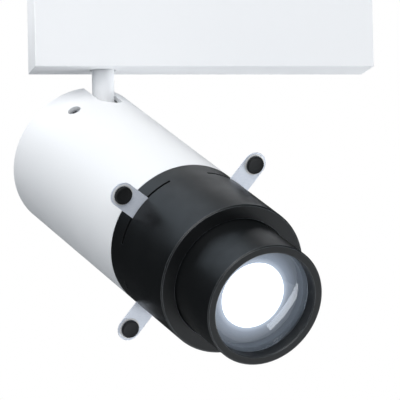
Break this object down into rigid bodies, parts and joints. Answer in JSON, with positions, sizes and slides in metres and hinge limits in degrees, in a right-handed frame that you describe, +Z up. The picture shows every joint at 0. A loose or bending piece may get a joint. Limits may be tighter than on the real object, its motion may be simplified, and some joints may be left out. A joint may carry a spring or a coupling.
{
  "type": "track framing spotlight",
  "caption": "Ceiling-track profile spotlight: a gear box, a turning stem, a tilting white head, a black framing module with shutter blades and a sliding focus barrel.",
  "frame": {"origin": "centre of the gear box's top rim, in the plane that closes against the track", "axes": "+X along the gear box, away from the stem's end; +Y across it, away from the side that the lamp points to; +Z up, into the track"},
  "size_m": [0.2204, 0.2501, 0.3026],
  "materials": {
    "white_paint": "smooth satin white powder coat",
    "black_paint": "satin black coat",
    "black_anodised": "satin black anodised",
    "bare_aluminium": "die cast, unpainted",
    "steel": "zinc plated",
    "blade_metal": "satin",
    "black_plastic": "moulded",
    "white_plastic": "moulded",
    "grip_plastic": "moulded",
    "brass": "machined",
    "copper": "sheet",
    "board_white": "solder mask",
    "lens_glass": "clear, coated",
    "lead_sleeve": "cable sleeve",
    "led_glow": "phosphor, lit",
    "lit_lens": "frosted, lit from behind"
  },
  "bodies": {
    "gear_box": {"gear_box_housing": "white_paint", "gear_box_lid": "white_paint", "lid_screws": "steel", "driver": "black_plastic", "lamp_lead": "lead_sleeve", "pan_bearing": "black_plastic", "bearing_screws": "steel", "adapter_body": "white_plastic"},
    "left_lock": {"left_lock_cam": "white_plastic", "left_lock_lever": "white_plastic"},
    "right_lock": {"right_lock_cam": "white_plastic", "right_lock_lever": "white_plastic", "contact_tongues": "copper"},
    "stem": {"stem": "white_paint", "pan_stop_ring": "steel", "stem_nut": "steel", "stem_lead": "lead_sleeve", "tilt_knuckle": "bare_aluminium", "tilt_axle": "steel", "tilt_washers": "steel", "axle_nut": "steel"},
    "lamp_head": {"head_housing": "white_paint", "rear_cap": "white_paint", "cap_screws": "steel", "heat_sink": "bare_aluminium", "tilt_bracket": "steel", "tilt_bushes": "brass", "tilt_lock_collar": "bare_aluminium", "tilt_lock_screw": "steel", "led_board": "board_white", "led_emitter": "led_glow", "led_holder": "black_plastic", "head_lead": "lead_sleeve", "condenser_barrel": "black_paint", "condenser_lenses": "lens_glass", "front_ring": "bare_aluminium", "turn_retainer": "bare_aluminium"},
    "framing_module": {"framing_housing": "black_paint", "turn_ring": "black_anodised", "rear_gate_plate": "black_paint", "front_gate_plate": "black_paint", "gate_posts": "steel", "barrel_guide": "black_anodised"},
    "focus_barrel": {"lens_tube": "black_anodised", "front_lens": "lens_glass", "lens_retainer": "black_anodised", "rear_lens_holder": "black_paint", "rear_lens": "lit_lens"},
    "block_a": {"shutter_a_block": "brass"},
    "shutter_a": {"shutter_a_blade": "blade_metal", "shutter_a_grip": "grip_plastic"},
    "block_b": {"shutter_b_block": "brass"},
    "shutter_b": {"shutter_b_blade": "blade_metal", "shutter_b_grip": "grip_plastic"},
    "block_c": {"shutter_c_block": "brass"},
    "shutter_c": {"shutter_c_blade": "blade_metal", "shutter_c_grip": "grip_plastic"},
    "block_d": {"shutter_d_block": "brass"},
    "shutter_d": {"shutter_d_blade": "blade_metal", "shutter_d_grip": "grip_plastic"}
  },
  "joints": [
    {"name": "left_lock_turn", "type": "hinge", "parent": "gear_box", "child": "left_lock", "pos_m": [-0.042, 0, 0], "axis": [0, 0, 1], "range_deg": [-90, 0]},
    {"name": "right_lock_turn", "type": "hinge", "parent": "gear_box", "child": "right_lock", "pos_m": [0.048, 0, 0], "axis": [0, 0, 1], "range_deg": [-90, 0]},
    {"name": "head_pan", "type": "hinge", "parent": "gear_box", "child": "stem", "pos_m": [-0.0611, 0, -0.1293], "axis": [0, 0, 1], "range_deg": [-100.6, 239.4]},
    {"name": "head_tilt", "type": "hinge", "parent": "stem", "child": "lamp_head", "pos_m": [-0.0611, 0, -0.1293], "axis": [0.9361, 0.3518, 0], "range_deg": [-22, 64]},
    {"name": "module_turn", "type": "hinge", "parent": "lamp_head", "child": "framing_module", "pos_m": [-0.02391, -0.09895, -0.20912], "axis": [0.3162, -0.8413, -0.4384], "range_deg": [-15, 75]},
    {"name": "focus_slide", "type": "slide", "parent": "framing_module", "child": "focus_barrel", "axis": [0.3162, -0.8413, -0.4384], "range_m": [-0.018, 0.0065]},
    {"name": "shutter_a_swivel", "type": "hinge", "parent": "framing_module", "child": "block_a", "pos_m": [-0.01115, -0.10305, -0.19295], "axis": [0.3162, -0.8413, -0.4384], "range_deg": [-20, 20]},
    {"name": "shutter_a_slide", "type": "slide", "parent": "block_a", "child": "shutter_a", "axis": [0.6016, -0.1794, 0.7784], "range_m": [-0.0075, 0.0015]},
    {"name": "shutter_b_swivel", "type": "hinge", "parent": "framing_module", "child": "block_b", "pos_m": [-0.00876, -0.08757, -0.2182], "axis": [0.3162, -0.8413, -0.4384], "range_deg": [-20, 20]},
    {"name": "shutter_b_slide", "type": "slide", "parent": "block_b", "child": "shutter_b", "axis": [0.7335, 0.5099, -0.4494], "range_m": [-0.0075, 0.0015]},
    {"name": "shutter_c_swivel", "type": "hinge", "parent": "framing_module", "child": "block_c", "pos_m": [-0.03641, -0.09552, -0.22564], "axis": [0.3162, -0.8413, -0.4384], "range_deg": [-20, 20]},
    {"name": "shutter_c_slide", "type": "slide", "parent": "block_c", "child": "shutter_c", "axis": [-0.6016, 0.1794, -0.7784], "range_m": [-0.0075, 0.0015]},
    {"name": "shutter_d_swivel", "type": "hinge", "parent": "framing_module", "child": "block_d", "pos_m": [-0.03956, -0.10898, -0.19933], "axis": [0.3162, -0.8413, -0.4384], "range_deg": [-20, 20]},
    {"name": "shutter_d_slide", "type": "slide", "parent": "block_d", "child": "shutter_d", "axis": [-0.7335, -0.5099, 0.4494], "range_m": [-0.0075, 0.0015]}
  ]
}
